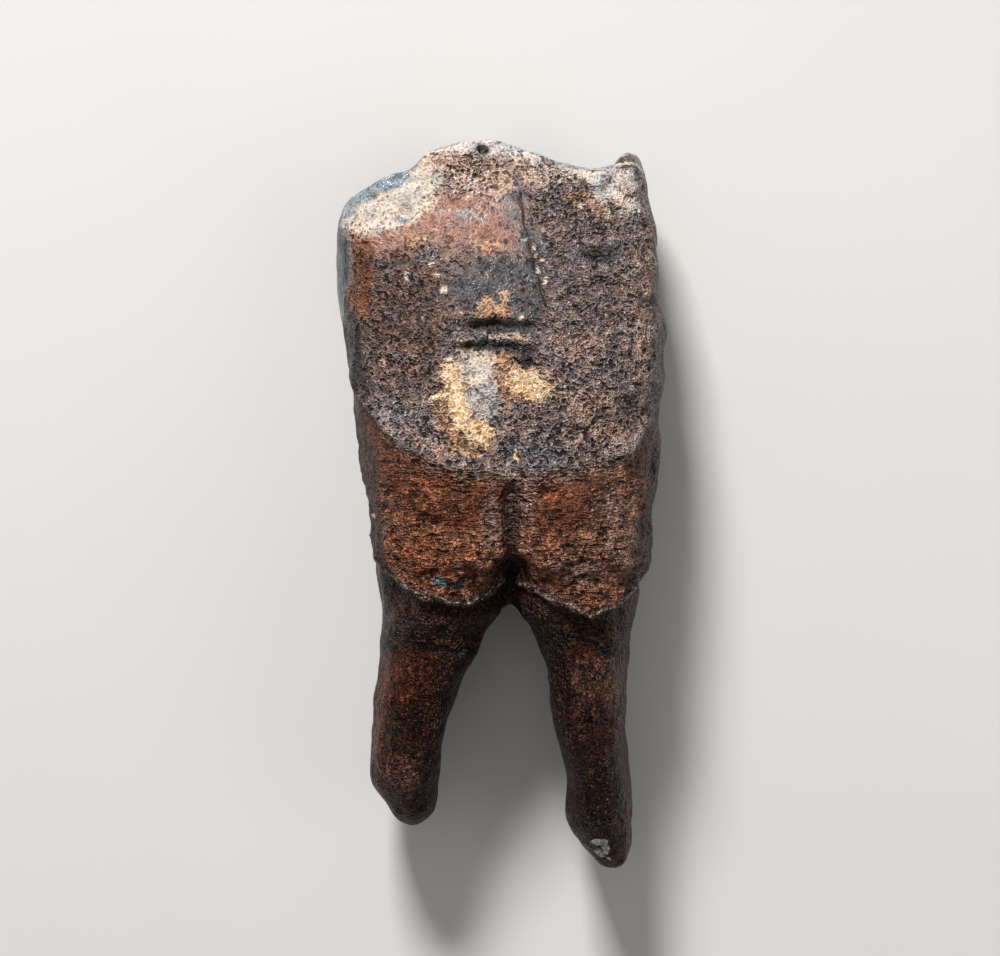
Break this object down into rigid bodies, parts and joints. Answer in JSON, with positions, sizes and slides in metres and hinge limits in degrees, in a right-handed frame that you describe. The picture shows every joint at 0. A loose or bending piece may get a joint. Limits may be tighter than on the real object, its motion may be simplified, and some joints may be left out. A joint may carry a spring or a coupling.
{
  "type": "fossil woolly rhinoceros tooth",
  "caption": "Fossil lower cheek tooth: a tall two-lobed crown with a worn chewing surface, over a front and a back root. It lies on its tongue side.",
  "frame": {"origin": "on the ground, under the middle of the tooth's bounding box", "axes": "+X from the front root's side to the back root's side, +Y from the root tips to the chewing surface, +Z from the tongue side, on which the tooth lies, up to the cheek side"},
  "size_m": [0.0416, 0.0914, 0.029],
  "materials": {
    "fossil_tooth": "satin, stained dark brown, with pale chalky and ochre patches"
  },
  "bodies": {
    "root": {"tooth": "fossil_tooth"}
  },
  "joints": []
}
